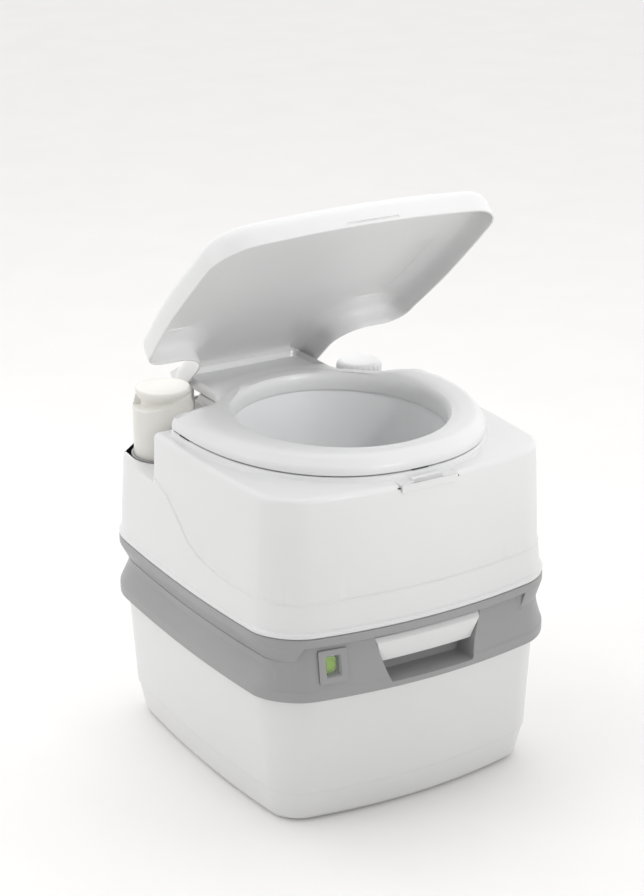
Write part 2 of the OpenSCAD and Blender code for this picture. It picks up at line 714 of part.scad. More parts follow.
module lid_closed() {
    r = lid_rim_z;
    inside = [crown_ring(0.5, r + 30.6), crown_ring(0.86, r + 29.8), lid_ring(17, r + 27, r + 30.4),
        lid_ring(9, r + 24, r + 30.1), lid_ring(4.6, r + 20, r + 29.9), lid_ring(3, r + 15, r + 29.7),
        lid_ring(3, r, r + 29)];
    outside = [lid_ring(0, r, r + 29), lid_ring(0, r + 15, r + 29.8), lid_ring(1.6, r + 22, r + 30.6),
        lid_ring(6, r + 27, r + 31.6), lid_ring(14, r + 30, r + 32.4), crown_ring(0.9, r + 32.8),
        crown_ring(0.5, r + 33.6)];
    difference() {
        union() {
            loft(concat(inside, outside));
            for (s = [-1, 1]) ear(s * 86.3 - 1.7, s * 86.3 + 1.7, r + 15);
        }
        x_rod(-100, 100, hinge_y, hinge_z, pin_r + bore_gap);
    }
}

module opened() {
    translate([0, hinge_y, hinge_z]) rotate([-lid_open, 0, 0]) translate([0, -hinge_y, -hinge_z]) children();
}

module lid() {
    color(white) opened() lid_closed();
}

waste_tank_shell();
waste_tank_cover();
valve_guide();
lip_seal();
valve_screws();
valve_collar();
rod_seal();
level_frame();
level_window();
float_pin();
vent_seal();
spout_seal();
latch_pin();
valve_handle();
valve_rod();
valve_blade();
level_drum();
float_arm();
float();
vent_button();
vent_spring();
pour_spout();
spout_cap();
spout_cap_seal();
tank_latch();
flush_tank_shell();
flush_tank_base();
bowl();
outlet_seal();
rinse_nozzle();
flush_hose();
pump_well();
pump_barrel();
pump_foot_valve();
pump_collar();
fill_neck();
latch_catch();
hinge_pins();
pump_cap();
pump_rod();
pump_piston();
piston_seal();
pump_spring();
fill_cap();
fill_cap_seal();
seat();
seat_bumpers();
lid();
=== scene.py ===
import math

import bmesh
import bpy
import numpy as np
from mathutils import Matrix, Vector


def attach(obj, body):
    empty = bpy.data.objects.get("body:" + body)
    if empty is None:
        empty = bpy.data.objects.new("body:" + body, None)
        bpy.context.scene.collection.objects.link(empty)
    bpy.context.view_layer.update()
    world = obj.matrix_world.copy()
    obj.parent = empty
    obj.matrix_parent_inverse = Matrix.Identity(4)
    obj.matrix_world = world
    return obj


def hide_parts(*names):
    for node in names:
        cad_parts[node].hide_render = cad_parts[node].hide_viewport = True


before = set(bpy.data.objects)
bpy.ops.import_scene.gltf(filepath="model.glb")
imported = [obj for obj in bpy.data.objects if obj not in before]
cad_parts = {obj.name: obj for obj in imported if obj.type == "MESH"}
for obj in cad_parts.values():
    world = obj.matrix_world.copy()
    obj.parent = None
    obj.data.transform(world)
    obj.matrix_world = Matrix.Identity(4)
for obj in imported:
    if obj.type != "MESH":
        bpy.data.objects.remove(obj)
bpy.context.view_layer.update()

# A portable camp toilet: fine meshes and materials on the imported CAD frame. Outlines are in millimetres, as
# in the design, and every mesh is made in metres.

MM = 0.001

# ---------------------------------------------------------------- driving sizes
BAND_A, BAND_B = 191.5, 213.5        # half width and half depth across the grey band
FRONT_R, REAR_R = 48, 70             # plan radii of the band's corners
FRONT_BOW, SIDE_BOW = 25, 10.7       # how far the faces bow outward
COVER_Z, SPLIT_Z, DECK_Z = 155.5, 228, 380
WASTE_DECK_Z = 212
PLATFORM_Z = DECK_Z + 6
SEAT_BOTTOM, SEAT_TOP = PLATFORM_Z + 1.4, PLATFORM_Z + 22
LID_RIM = DECK_Z + 0.6
HINGE = np.array([0, 175, 365])
EAR_R, PIN_BORE_R = 9, 4.08          # the arms round the hinge pins, and their bores
BOSS_X, BOSS_HALF = 67, 12           # the flush tank's arms that carry the pins
LID_OPEN = 42.2                      # degrees above its closed place
WALL = 2.2
OUTLET_Y, OUTLET_R = -10, 44
OPENING_Y, OPENING_A, OPENING_B = -25, 114, 126
PUMP = np.array([-128, 150])
FILL = np.array([128, 138])
PUMP_SHELF, FILL_SHELF = 323, 345
ALCOVE_X, ALCOVE_Y = 88, 74
LEVEL_X, LEVEL_Z = -116, 193         # middle of the level window
DRUM_Y, DRUM_Z = -179, 192           # the green drum's axis
RECESS_BACK = -180                   # back of the handle's recess
VENT = np.array([120, 150])
SPOUT = np.array([-136, 178.5])
NOZZLE_Z = 366                       # height of the rinse nozzle's hole in the bowl
# The photograph's camera, in metres and degrees.
CAMERA_PLACE = (-1.22046, -1.99470, 1.21806)
CAMERA_TURN = (-31.301, 20.352, 0.166)   # azimuth from the front, elevation and roll
CAMERA_LENS, CAMERA_SENSOR = 89.59, 36


# ---------------------------------------------------------------- outlines
def arc(cx, cy, r, start, end, n):
    t = np.radians(np.linspace(start, end, n + 1))
    return np.column_stack([cx + r * np.cos(t), cy + r * np.sin(t)])


def between(p, q, n):
    k = np.arange(1, n)[:, None] / n
    return np.array(p) + (np.array(q, float) - np.array(p)) * k


def smooth(low, high, v):
    t = np.clip((v - low) / (high - low), 0, 1)
    return t * t * (3 - 2 * t)


def plan(a, b, front_r, rear_r, front_bow=FRONT_BOW, side_bow=SIDE_BOW):
    """A rounded rectangle with bowed faces, anticlockwise from the middle of its rear face."""
    p = np.vstack([
        between([a * 0.001, b], [-a + rear_r, b], 10), arc(-a + rear_r, b - rear_r, rear_r, 90, 180, 12),
        between([-a, b - rear_r], [-a, -b + front_r], 12),
        arc(-a + front_r, -b + front_r, front_r, 180, 270, 14),
        between([-a + front_r, -b], [a - front_r, -b], 28),
        arc(a - front_r, -b + front_r, front_r, 270, 360, 14),
        between([a, -b + front_r], [a, b - rear_r], 12), arc(a - rear_r, b - rear_r, rear_r, 0, 90, 12),
        between([a - rear_r, b], [a * 0.001, b], 10), [[a * 0.001, b]],
    ])
    x, y = p.T
    return np.column_stack([
        x - np.sign(x) * side_bow * (y / b) ** 2 * np.minimum(1, abs(x) / a),
        y + front_bow * (x / a) ** 2 * np.clip(-y / b, 0, 1),
    ])


def inset_plan(i):
    """The grey band's outline, moved inward."""
    return plan(BAND_A - i, BAND_B - i, max(8, FRONT_R - i), max(8, REAR_R - i))


def at(outline, z):
    return np.column_stack([outline, np.full(len(outline), z)])


def ellipse(a, b, cy, n=96):
    t = np.radians(np.arange(n) * 360 / n)
    return np.column_stack([a * np.cos(t), cy + b * np.sin(t)])


def circle(x, y, r, n=64):
    t = np.radians(np.arange(n) * 360 / n)
    return np.column_stack([x + r * np.cos(t), y + r * np.sin(t)])


def rounded(points, radii, closed=True, n=5):
    """A polygon or an open profile whose corners are rounded by these radii."""
    pts = [np.array(p, float) for p in points]
    out = []
    for k, (p, r) in enumerate(zip(pts, radii)):
        if r <= 0 or (not closed and k in (0, len(pts) - 1)):
            out.append(p)
            continue
        u, v = pts[k - 1] - p, pts[(k + 1) % len(pts)] - p
        lu, lv = np.linalg.norm(u), np.linalg.norm(v)
        u, v = u / lu, v / lv
        half = math.acos(np.clip(u @ v, -1, 1)) / 2
        reach = min(r / math.tan(half), 0.48 * lu, 0.48 * lv)
        for s in np.linspace(0, 1, n + 1):
            a, b = p + u * reach * (1 - s), p + v * reach * s
            out.append(a * (1 - s) + b * s)
    return np.array(out)


# ---------------------------------------------------------------- solids, as (points, faces)
def loft(rings, ends=True):
    """A closed solid through rings of points; with ends=False the last ring joins the first."""
    m, n = len(rings), len(rings[0])
    faces = []
    for i in range(m - 1 if ends else m):
        up = (i + 1) % m
        for j in range(n):
            k = (j + 1) % n
            faces.append((i * n + j, i * n + k, up * n + k, up * n + j))
    if ends:
        faces += [tuple(range(n))[::-1], tuple((m - 1) * n + j for j in range(n))]
    return np.vstack(rings), faces


def prism(outline, low, high, axis="z"):
    """An outline given thickness: along z, along y (its points are x, z) or along x (its points are y, z)."""
    o = np.array(outline, float)
    rings = []
    for h in (low, high):
        c = np.full(len(o), h)
        columns = {"z": [o[:, 0], o[:, 1], c], "y": [o[:, 0], c, o[:, 1]], "x": [c, *o.T]}[axis]
        rings.append(np.column_stack(columns))
    return loft(rings)


def block(low, high):
    (x0, y0, z0), (x1, y1, z1) = low, high
    return prism([[x0, y0], [x1, y0], [x1, y1], [x0, y1]], z0, z1)


def rod(x0, x1, y, z, r, n=48):
    return prism(circle(y, z, r, n), x0, x1, "x")


# ---------------------------------------------------------------- pieces
def mesh_object(name, shape):
    pts, faces = shape
    mesh = bpy.data.meshes.new(name)
    mesh.from_pydata((np.asarray(pts) * MM).tolist(), [], [list(map(int, f)) for f in faces])
    bm = bmesh.new()
    bm.from_mesh(mesh)
    bmesh.ops.remove_doubles(bm, verts=bm.verts, dist=1e-6)
    bmesh.ops.recalc_face_normals(bm, faces=bm.faces)
    bm.to_mesh(mesh)
    bm.free()
    obj = bpy.data.objects.new(name, mesh)
    bpy.context.scene.collection.objects.link(obj)
    return obj


def bake(obj):
    """Replaces an object's mesh by what its modifiers make of it."""
    bpy.context.view_layer.update()
    made = bpy.data.meshes.new_from_object(obj.evaluated_get(bpy.context.evaluated_depsgraph_get()))
    obj.modifiers.clear()
    obj.data = made


def combine(obj, operation, shapes):
    for shape in shapes:
        other = shape if isinstance(shape, bpy.types.Object) else mesh_object("cutter", shape)
        mod = obj.modifiers.new("combine", "BOOLEAN")
        mod.operation, mod.object, mod.solver = operation, other, "EXACT"
        bake(obj)
        bpy.data.objects.remove(other)
    return obj


def piece(name, obj, material, body, stands_for=(), bevel=0.0, angle=38, sharp=None):
    """Finishes a mesh: round edges, shading, material, the body it rides on and the nodes it stands for."""
    if not isinstance(obj, bpy.types.Object):
        obj = mesh_object(name, obj)
    obj.name = obj.data.name = name
    if bevel:
        mod = obj.modifiers.new("round", "BEVEL")
        mod.width, mod.segments, mod.limit_method = bevel * MM, 3, "ANGLE"
        mod.angle_limit = math.radians(angle)
        mod.use_clamp_overlap = False
        bake(obj)
    bm = bmesh.new()
    bm.from_mesh(obj.data)
    bmesh.ops.dissolve_degenerate(bm, edges=bm.edges, dist=1e-6)
    bm.to_mesh(obj.data)
    bm.free()
    obj.data.shade_smooth()
    obj.data.set_sharp_from_angle(angle=math.radians(sharp or angle))
    obj.data.materials.clear()
    obj.data.materials.append(material)
    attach(obj, body)
    if stands_for:
        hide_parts(*stands_for)
    return obj


# ---------------------------------------------------------------- materials
def node(tree, kind, **settings):
    made = tree.nodes.new(kind)
    for key, value in settings.items():
        if key in made.inputs:
            made.inputs[key].default_value = value
        else:
            setattr(made, key, value)
    return made


def plastic(name, dark, light, rough, grain, depth, coat=0.0, speck=None):
    """A moulded plastic: faint cloudy colour, uneven gloss, and a fine moulded grain of this size in mm."""
    mat = bpy.data.materials.new(name)
    mat.use_nodes = True
    tree = mat.node_tree
    shader = tree.nodes["Principled BSDF"]
    shader.inputs["IOR"].default_value = 1.46
    shader.inputs["Coat Weight"].default_value = coat
    shader.inputs["Coat Roughness"].default_value = 0.08
    where = node(tree, "ShaderNodeTexCoord").outputs["Object"]

    def noise(size, detail, roughness=0.5):
        made = node(tree, "ShaderNodeTexNoise", Scale=1000 / size, Detail=detail, Roughness=roughness)
        tree.links.new(where, made.inputs["Vector"])
        return made.outputs["Fac"]

    cloud = node(tree, "ShaderNodeMapRange", **{"From Min": 0.25, "From Max": 0.75})
    tree.links.new(noise(150, 2), cloud.inputs["Value"])
    colour = node(tree, "ShaderNodeMix", data_type="RGBA")
    colour.inputs["A"].default_value = (*dark, 1)
    colour.inputs["B"].default_value = (*light, 1)
    tree.links.new(cloud.outputs["Result"], colour.inputs["Factor"])
    out = colour.outputs["Result"]
    if speck:
        spots = node(tree, "ShaderNodeMapRange", **{"From Min": 0.66, "From Max": 0.72})
        tree.links.new(noise(0.9, 2), spots.inputs["Value"])
        specked = node(tree, "ShaderNodeMix", data_type="RGBA")
        specked.inputs["B"].default_value = (*speck, 1)
        tree.links.new(out, specked.inputs["A"])
        tree.links.new(spots.outputs["Result"], specked.inputs["Factor"])
        out = specked.outputs["Result"]
    tree.links.new(out, shader.inputs["Base Color"])

    gloss = node(tree, "ShaderNodeMapRange",
                 **{"From Min": 0.3, "From Max": 0.7, "To Min": rough - 0.04, "To Max": rough + 0.05})
    tree.links.new(noise(60, 3, 0.5), gloss.inputs["Value"])
    tree.links.new(gloss.outputs["Result"], shader.inputs["Roughness"])

    bump = node(tree, "ShaderNodeBump", Strength=depth, Distance=0.0003)
    tree.links.new(noise(grain, 2), bump.inputs["Height"])
    tree.links.new(bump.outputs["Normal"], shader.inputs["Normal"])
    return mat


def metal(name, tint):
    mat = plastic(name, [c * 0.85 for c in tint], tint, 0.3, 0.6, 0.2)
    mat.node_tree.nodes["Principled BSDF"].inputs["Metallic"].default_value = 1
    return mat


def clear(name, tint):
    mat = plastic(name, tint, [min(1, c * 1.05) for c in tint], 0.08, 4, 0.05)
    mat.node_tree.nodes["Principled BSDF"].inputs["Transmission Weight"].default_value = 0.95
    return mat


# The pale plastics stay above a roughness of 0.3: uneven gloss below that left patches in denoised renders.
WHITE = plastic("white_shell", (0.700, 0.701, 0.702), (0.722, 0.723, 0.723), 0.36, 16, 0.05, coat=0.15)
# The bowl's white is lighter than the shell's, though the real bowl is the same white plastic. The extra
# lightness is painted light that lifts the shade inside the bowl.
BOWL = plastic("bowl_shell", (0.765, 0.768, 0.775), (0.79, 0.793, 0.80), 0.34, 18, 0.05, coat=0.2)
GREY = plastic("grey_shell", (0.300, 0.300, 0.303), (0.325, 0.325, 0.329), 0.42, 0.55, 0.15,
               speck=(0.37, 0.37, 0.375))
DARK = plastic("dark_parts", (0.085, 0.085, 0.09), (0.11, 0.11, 0.115), 0.45, 0.6, 0.2)
IVORY = plastic("ivory_parts", (0.71, 0.695, 0.655), (0.75, 0.735, 0.695), 0.36, 14, 0.05)
RUBBER = plastic("rubber_parts", (0.022, 0.022, 0.024), (0.034, 0.034, 0.036), 0.7, 0.4, 0.3)
GREEN = plastic("green_drum", (0.42, 0.66, 0.02), (0.50, 0.74, 0.04), 0.3, 6, 0.05)
STEEL = metal("steel_parts", (0.62, 0.62, 0.63))
CLEAR = clear("window_clear", (0.86, 0.93, 0.86))


# ---------------------------------------------------------------- camera, light and floor
def make_camera():
    azimuth, elevation, roll = (math.radians(v) for v in CAMERA_TURN)
    back = Vector((math.sin(azimuth) * math.cos(elevation), -math.cos(azimuth) * math.cos(elevation),
                   math.sin(elevation)))
    right = Vector((math.cos(azimuth), math.sin(azimuth), 0))
    up = back.cross(right)
    turn = Matrix((right * math.cos(roll) - up * math.sin(roll),
                   right * math.sin(roll) + up * math.cos(roll), back))
    camera = bpy.data.cameras.new("camera")
    camera.lens, camera.sensor_width = CAMERA_LENS, CAMERA_SENSOR
    obj = bpy.data.objects.new("camera", camera)
    obj.matrix_world = Matrix.Translation(CAMERA_PLACE) @ turn.transposed().to_4x4()
    bpy.context.scene.collection.objects.link(obj)
    bpy.context.scene.camera = obj


def hang(light, place, target):
    """Puts a light at a place, turned to a target."""
    obj = bpy.data.objects.new(light.name, light)
    obj.location = place
    obj.rotation_euler = (Vector(target) - Vector(place)).to_track_quat("-Z", "Y").to_euler()
    bpy.context.scene.collection.objects.link(obj)


def area_light(name, place, target, size, power):
    light = bpy.data.lights.new(name, "AREA")
    light.shape, light.size, light.size_y = "RECTANGLE", *size
    light.energy = power
    hang(light, place, target)


def make_studio():
    """An even white surround, dimmer on the camera's side, with soft lamps, a fill lamp and the floor."""
    world = bpy.data.worlds.new("studio")
    world.use_nodes = True
    tree = world.node_tree
    towards = node(tree, "ShaderNodeVectorMath", operation="DOT_PRODUCT")
    towards.inputs[1].default_value = (-0.42, -0.89, 0.17)
    tree.links.new(node(tree, "ShaderNodeTexCoord").outputs["Generated"], towards.inputs[0])
    dim = node(tree, "ShaderNodeMapRange", interpolation_type="SMOOTHSTEP",
               **{"From Min": -0.3, "From Max": 0.8, "To Min": 1.3, "To Max": 0.38})
    tree.links.new(towards.outputs["Value"], dim.inputs["Value"])
    tree.nodes["Background"].inputs["Color"].default_value = (1, 1, 1, 1)
    tree.links.new(dim.outputs["Result"], tree.nodes["Background"].inputs["Strength"])
    bpy.context.scene.world = world
    bpy.context.scene.view_settings.view_transform = "Standard"
    area_light("top", (-0.2, 0.1, 2.6), (0, 0, 0.3), (2.4, 2.4), 15)
    area_light("left", (-2.4, 0.5, 1.2), (0, 0, 0.3), (1.4, 2.0), 10)
    area_light("front", (0.2, -2.6, 0.8), (0, 0.1, 0.4), (1.6, 0.8), 11)
    # A narrow soft lamp that reaches under the open lid.
    fill = bpy.data.lights.new("fill", "SPOT")
    fill.energy, fill.shadow_soft_size = 145, 0.25
    fill.spot_size, fill.spot_blend = math.radians(13), 1.0
    hang(fill, (0.5, -2.1, 1.75), (0, 0.07, 0.43))
    floor = mesh_object("floor", block((-6000, -6000, -20), (6000, 6000, 0)))
    floor.data.materials.append(plastic("pale_floor", (0.90, 0.89, 0.88), (0.92, 0.91, 0.90), 0.8, 3, 0.05))


# ---------------------------------------------------------------- waste tank
def waste_plan(z, i):
    """The waste tank's outline at a height, moved inward; the tank widens upward."""
    t = z / COVER_Z
    rise, flare = min(1, z / 40), 12 * max(0, t - 0.25)
    return plan(167.5 + 6.8 * rise + flare - i, 186.8 + 9.5 * rise + flare - i,
                max(8, 28 + 18 * t - i), max(8, 46 + 20 * t - i), 20 + 5 * t)


def make_waste_tank():
    foot_r = 9
    foot = [(foot_r * (1 - math.cos(math.radians(v))), foot_r * (1 - math.sin(math.radians(v))))
            for v in range(0, 91, 15)]
    step = [(24, 0), (36.6, 0), (37.8, -0.12), (38.8, -0.5), (39.8, -0.88), (41, -1)]
    wall = [(z, -1) for z in (60, 85, 110, 135, COVER_Z + 3)]
    inside = [(COVER_Z + 3, WALL - 1), (100, WALL - 1), (41, WALL - 1), (12, WALL + 1), (WALL + 0.6, 9)]
    piece("waste_tank_wall", loft([at(waste_plan(z, i), z) for z, i in foot + step + wall + inside]),
          WHITE, "waste_tank", ["waste_tank_shell"])


BASE_RING = inset_plan(0)
INSET_STEP = (inset_plan(9) - BASE_RING) / 9
FRONT_ROWS = np.flatnonzero(BASE_RING[:, 1] < -120)


def front_column(x):
    """The place along the band's outline, counted in its points, where its front reaches x."""
    return np.interp(x, BASE_RING[FRONT_ROWS, 0], FRONT_ROWS)


def band_columns(z):
    """The outline's points at a height, closer at the front fascia's ends, and which are fascia."""
    lean = np.clip((z - 199) / 20, 0, 1)
    left, right_in, right_out = -157 + 10 * lean, 126 - 5 * lean, 127 + 3 * lean
    stops = [(-172, left - 0.4, 7), (left, -134, 7), (108, right_in, 5), (right_out, 142, 5)]
    marks = [front_column(np.linspace(a, b, n)) for a, b, n in stops]
    even = np.arange(len(BASE_RING), dtype=float)
    parts = [even[even < front_column(-172.5)], marks[0], marks[1],
             even[(even > front_column(-133)) & (even < front_column(107))], marks[2], marks[3],
             even[even > front_column(143)]]
    fascia = np.concatenate([np.full(len(p), k in (2, 3, 4)) for k, p in enumerate(parts)])
    return np.concatenate(parts), fascia


def along(columns, inset, z):
    """Points at these places along the band's outline, each moved inward by its own amount."""
    low = np.floor(columns).astype(int) % len(BASE_RING)
    high, t = (low + 1) % len(BASE_RING), (columns % 1)[:, None]
    base = BASE_RING[low] * (1 - t) + BASE_RING[high] * t
    step = INSET_STEP[low] * (1 - t) + INSET_STEP[high] * t
    return np.column_stack([base + step * np.asarray(inset)[:, None], np.full(len(columns), z)])


# Height and distance inward from the band's widest outline.
SIDE_PROFILE = [
    (155.5, 1.2), (155.9, 0.2), (156.6, -0.5), (157.6, -0.8), (167, -0.8), (168.6, -0.62), (170, -0.1),
    (172, 0.8), (190, 9.0), (192, 9.45), (194, 9.6), (199, 9.6), (199.3, 10.6), (200, 10.6)]
FASCIA_PROFILE = [
    (155.5, 1.2), (155.9, 0.2), (156.6, -0.5), (157.6, -0.8), (166, -0.8), (167.6, -0.6), (169, 0.1),
    (170.5, 0.6), (200, 4.8), (215.6, 7), (216.4, 6.6), (217, 5.4), (217.6, 2.2), (218.2, 0.7), (219.2, 0)]
LIP_PROFILE = [(219.2, 0), (226.2, 0), (227.4, 0.35), (228, 1.4)]
BAND_HEIGHTS = sorted({z for z, _ in SIDE_PROFILE + FASCIA_PROFILE + LIP_PROFILE}
                      | {161.5, 175, 180, 185, 197, 200.6, 200.9, 203, 207, 211, 214, 218.8, 223})


def profile_at(profile, z):
    return np.interp(z, *zip(*profile))


def band_ring(z, extra=0.0):
    """The band's ring at a height: side profile, front profile between the fascia's ends, or lip."""
    columns, fascia = band_columns(z)
    ahead = np.gradient(np.interp(columns, np.arange(len(BASE_RING)), BASE_RING[:, 0]))
    across = np.gradient(np.interp(columns, np.arange(len(BASE_RING)), BASE_RING[:, 1]))
    facing_front = smooth(0.1, 0.93, ahead / np.hypot(ahead, across))
    crease = 9.6 * (1 - facing_front) + 4.8 * facing_front
    if z <= 200:
        side, front = profile_at(SIDE_PROFILE, z), profile_at(FASCIA_PROFILE, z)
        inset = side * (1 - facing_front) + front * facing_front
    else:
        groove = crease * np.clip((218.8 - z) / 18.8, 0, 1)
        groove = groove + 1.0 * (1 - facing_front) * np.clip(201 - z, 0, 1)
        inset = np.where(fascia, profile_at(FASCIA_PROFILE, z), groove)
    if z > 219:
        inset = np.full(len(columns), profile_at(LIP_PROFILE, z))
    return along(columns, inset + extra, z)


def recess_outline(grow):
    """The handle's recess in X and Z: as wide as the handle above, narrower below for the fingers."""
    corners = [[-50 - grow, 163 - grow], [54 + grow, 163 - grow], [58 + grow, 184],
               [68 + grow, 215 + grow], [-67 - grow, 215 + grow], [-58 - grow, 184]]
    return rounded(corners, [3, 3, 4, 1.5, 1.5, 4])


def spout_box(grow, y1):
    """The pocket that the pour-out spout lies in, open to the rear."""
    x0, x1, y0 = -162 - grow, -24 + grow, 157 - grow
    return prism(rounded([[x0, y0], [x1, y0], [x1, y1], [x0, y1]], [6, 6, 0, 0]), 162 - grow, 206 + grow)


def make_band():
    outer = [band_ring(z) for z in BAND_HEIGHTS]
    inner = [band_ring(z, WALL + 0.4) for z in (204, 197, 188, 176, 166, 157.6)]
    lip = [band_ring(z, i) for z, i in ((SPLIT_Z, 3), (SPLIT_Z, 6.6), (227.4, 7.4), (213.6, 8.6), (212.3, 9),
                                        (WASTE_DECK_Z, 10.4))]
    under = at(band_ring(SPLIT_Z, 14)[:, :2], WASTE_DECK_Z - 3)
    lip[-1][:, 2] = WASTE_DECK_Z
    band = mesh_object("band", loft([under] + inner + [band_ring(COVER_Z, 5.6)] + outer + lip))
    pockets = mesh_object("pockets", prism(recess_outline(WALL), -230, RECESS_BACK + WALL, "y"))
    combine(pockets, "UNION", [spout_box(WALL, 230)])
    core = loft([band_ring(z, 1.2) for z in (157.6, 167, 170, 185, 192, 200, 207, 211, 214, 218, 226.2)])
    combine(pockets, "INTERSECT", [core])
    combine(band, "UNION", [pockets])
    left, right, low, high = LEVEL_X - 9, LEVEL_X + 9, LEVEL_Z - 13, LEVEL_Z + 13
    window = rounded([[left, low], [right, low], [right, high], [left, high]], [2.2] * 4)
    combine(band, "DIFFERENCE", [
        prism(recess_outline(0.3), -240, RECESS_BACK, "y"),
        spout_box(0, 240),
        prism(window, -240, -189, "y"),
        prism(circle(0, OUTLET_Y, OUTLET_R + 3, 96), 190, 230),
        prism(circle(*VENT, 6.3, 32), 195, 230),
        block((-12.6, RECESS_BACK - 1, 194.4), (12.6, RECESS_BACK + 6, 200.6)),
        prism(rounded([[-20, 204.6], [20, 204.6], [20, 240], [-20, 240]], [2, 2, 0, 0]), 206, 240),
        prism(circle(*SPOUT, 13.2, 32), 120, 170),
        prism([[120.4, 218.6], [130.6, 218.6], [128.6, 199], [126.4, 199]], -240, -195.4, "y"),
    ])
    piece("grey_band", band, GREY, "waste_tank", ["waste_tank_cover"], bevel=0.4, angle=42, sharp=16)


def window_ring(half_w, half_h, radius, depth=None, y=None):
    """A rounded rectangle upright on the fascia, this deep behind its face, or flat at a place y."""
    corners = [[-half_w, -half_h], [half_w, -half_h], [half_w, half_h], [-half_w, half_h]]
    x, z = (rounded(corners, [radius] * 4) + [LEVEL_X, LEVEL_Z]).T
    face = -BAND_B + profile_at(FASCIA_PROFILE, z) + FRONT_BOW * (x / BAND_A) ** 2
    return np.column_stack([x, face + depth if y is None else np.full(len(x), y), z])


def make_level_window():
    back_y = -191
    rim = [window_ring(8.9, 12.9, 2.2, y=back_y), window_ring(8.9, 12.9, 2.2, 0.1),
           window_ring(16.2, 18.4, 2.5, 0.1), window_ring(16.2, 18.4, 2.5, -0.35),
           window_ring(15.7, 17.9, 2.2, -0.7), window_ring(9.3, 12.6, 2, -0.7),
           window_ring(8.6, 11.8, 1.8, -0.4), window_ring(7, 10.2, 1.6, 2.4),
           window_ring(6.8, 10, 1.6, y=back_y)]
    piece("window_frame", loft(rim, ends=False), GREY, "waste_tank", ["level_frame"], angle=22)
    pane = [window_ring(6.7, 9.9, 1.6, 3.4), window_ring(6.7, 9.9, 1.6, 2.7), window_ring(6.3, 9.5, 1.5, 2.4)]
    piece("window_pane", loft(pane), CLEAR, "waste_tank", ["level_window"], angle=30)
    t = np.radians(np.arange(0, 360, 5))
    half = [(2, 16.8), (5.6, 16.2), (6.2, 15.5), (6.2, 10)]
    drum = [np.column_stack([np.full(len(t), LEVEL_X + x), DRUM_Y + r * np.cos(t), DRUM_Z + r * np.sin(t)])
            for x, r in [(-x, r) for x, r in half[::-1]] + half]
    piece("level_barrel", loft(drum), GREEN, "level_float", ["level_drum"], angle=30)


def make_handle():
    top, bottom = (-66.5, 67.5, 213.4), (-57.6, 57.6, 184.3)
    section = [(-187.5, 184.3), (-203.4, 184.3), (-208.4, 208.2), (-204.6, 213.4), (-187.5, 213.4)]
    rings = []
    for side in np.linspace(0, 1, 25):
        ring = []
        for y, z in section:
            t = (z - bottom[2]) / (top[2] - bottom[2])
            x0, x1 = (bottom[k] + (top[k] - bottom[k]) * t for k in (0, 1))
            x = x0 + (x1 - x0) * side
            ring.append([x, y + 2.6 * (x / 67) ** 2 * (y < -190), z])
        rings.append(ring)
    piece("handle_bar", loft([np.array(r) for r in rings]), WHITE, "valve", ["valve_handle"],
          bevel=0.9, angle=25, sharp=14)


# ---------------------------------------------------------------- flush tank
TANK_PROFILE = [
    (228.3, 2), (228.7, 1), (229.6, 0.3), (230.8, 0), (232.6, 0), (233.4, 0.35), (234, 1.1), (234.5, 2.1),
    (235.3, 2.7), (237.4, 3), (244, 3.8), (255, 4.9), (262, 5.4)]
UPPER_PROFILE = [(266, 6.4), (300, 7.7), (330, 8.9), (360, 10), (367, 10.4)]
STEP_Z = 265                         # height of the step line in front
EDGE_R = 6


def step_height(outline):
    """The height of the step round the tank: level in front, rising to the corner shelves at the sides."""
    x, y = outline.T
    side = np.abs(x) > 150
    climb = np.interp(y, [-90, -60, -17, 10, 32, 60, 90], [0, 3, 11, 33, 50, 62, 66])
    return np.where(side, STEP_Z + climb * smooth(150, 172, np.abs(x)), np.where(y > 0, 331, STEP_Z))


